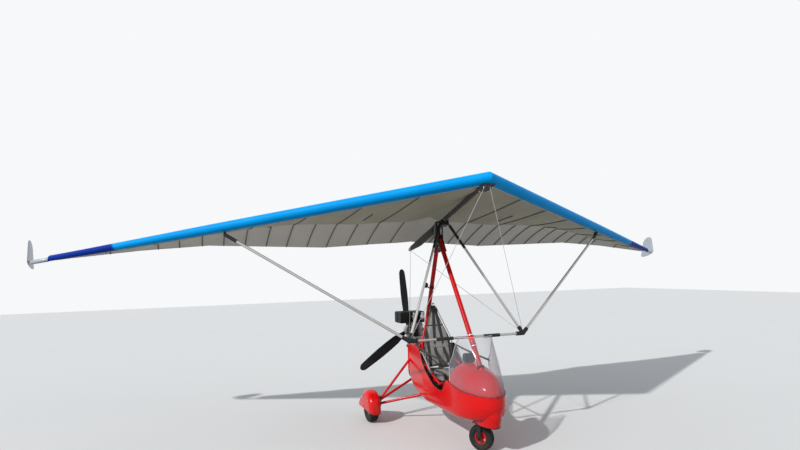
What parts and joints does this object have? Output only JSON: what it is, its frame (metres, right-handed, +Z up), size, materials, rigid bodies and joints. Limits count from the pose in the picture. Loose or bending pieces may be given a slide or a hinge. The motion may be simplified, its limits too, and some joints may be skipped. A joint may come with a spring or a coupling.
{
  "type": "microlight aircraft",
  "caption": "Strutted weight-shift microlight: a three-wheeled trike with a moulded pod, pusher propeller and a hinged flexible wing with upright tip fins.",
  "frame": {"origin": "on the ground, below the middle of the whole model's box as it parks", "axes": "+Z up, the nose points to -Y, the port side is +X"},
  "size_m": [9.5066, 3.0844, 2.8751],
  "materials": {
    "frame_red": "gloss paint",
    "black_metal": "powder coated",
    "joint_ring": "polished",
    "pod_red": "gloss moulded shell",
    "screen": "clear moulded sheet",
    "panel_black": "textured",
    "seat_cloth": "woven cover with dark piping",
    "tank": "translucent moulding",
    "engine_metal": "cast",
    "blade": "moulded composite",
    "hub_metal": "machined",
    "tyre": "ribbed rubber",
    "rim": "gloss paint",
    "wing_tube": "anodised, satin",
    "sail_white": "sailcloth",
    "sail_blue": "sailcloth",
    "tip": "moulded",
    "dark_cover": "sailcloth",
    "grip": "foam rubber",
    "fitting_black": "moulded",
    "stay": "stranded"
  },
  "bodies": {
    "trike": {"keel_beam": "frame_red", "mast": "frame_red", "mast_head": "black_metal", "front_tube": "frame_red", "front_tube_sleeve": "joint_ring", "steering_head": "frame_red", "pod_tub": "pod_red", "pod_chin": "pod_red", "windscreen": "screen", "dash_cowl": "pod_red", "instrument_panel": "panel_black", "seat_frame": "frame_red", "seat_base": "seat_cloth", "seat_back": "seat_cloth", "fuel_tank": "tank", "engine_mount": "black_metal", "crankcase": "engine_metal", "cylinders": "engine_metal", "airbox": "panel_black", "gearbox": "engine_metal", "gear_tubes_left": "frame_red", "gear_tubes_right": "frame_red", "hub_bracket_left": "black_metal", "hub_bracket_right": "black_metal", "spat_left": "pod_red", "spat_right": "pod_red"},
    "fork": {"nose_fork": "black_metal"},
    "nose_wheel": {"nose_tyre": "tyre", "nose_rim": "rim"},
    "wheel_left": {"main_tyre_left": "tyre", "main_rim_left": "rim"},
    "wheel_right": {"main_tyre_right": "tyre", "main_rim_right": "rim"},
    "propeller": {"propeller_hub": "hub_metal", "propeller_blades": "blade"},
    "hang": {"hang_block": "black_metal"},
    "wing": {"keel_tube": "wing_tube", "nose_plate": "wing_tube", "sail": "sail_white", "leading_edge_left": "sail_blue", "leading_edge_right": "sail_blue", "wing_tip_left": "tip", "wing_tip_right": "tip", "keel_pocket": "dark_cover", "apex_bracket": "wing_tube", "upright_left": "wing_tube", "upright_right": "wing_tube", "base_bar": "wing_tube", "bar_grips": "grip", "corner_fittings": "fitting_black", "strut_left": "wing_tube", "strut_right": "wing_tube", "strut_cuffs": "fitting_black", "stay_wires": "stay"}
  },
  "joints": [
    {"name": "steering", "type": "hinge", "parent": "trike", "child": "fork", "pos_m": [0, -1.24216, 0.4], "axis": [0, 0, 1], "range_deg": [-75, 5]},
    {"name": "nose_wheel_spin", "type": "hinge", "parent": "fork", "child": "nose_wheel", "pos_m": [-0.02581, -1.2053, 0.136], "axis": [0.8192, 0.5736, 0], "continuous": true},
    {"name": "wheel_left_spin", "type": "hinge", "parent": "trike", "child": "wheel_left", "pos_m": [0.757, 0.36284, 0.185], "axis": [1, 0, 0], "continuous": true},
    {"name": "wheel_right_spin", "type": "hinge", "parent": "trike", "child": "wheel_right", "pos_m": [-0.757, 0.36284, 0.185], "axis": [1, 0, 0], "continuous": true},
    {"name": "propeller_spin", "type": "hinge", "parent": "trike", "child": "propeller", "pos_m": [0, 0.98284, 1.045], "axis": [0, 1, 0], "continuous": true},
    {"name": "wing_pitch", "type": "hinge", "parent": "trike", "child": "hang", "pos_m": [0, -0.19716, 2.306], "axis": [1, 0, 0], "range_deg": [0, 22]},
    {"name": "wing_roll", "type": "hinge", "parent": "hang", "child": "wing", "pos_m": [0, -0.16164, 2.44142], "axis": [0, 0.9673, -0.2538], "range_deg": [-20, 20]}
  ]
}
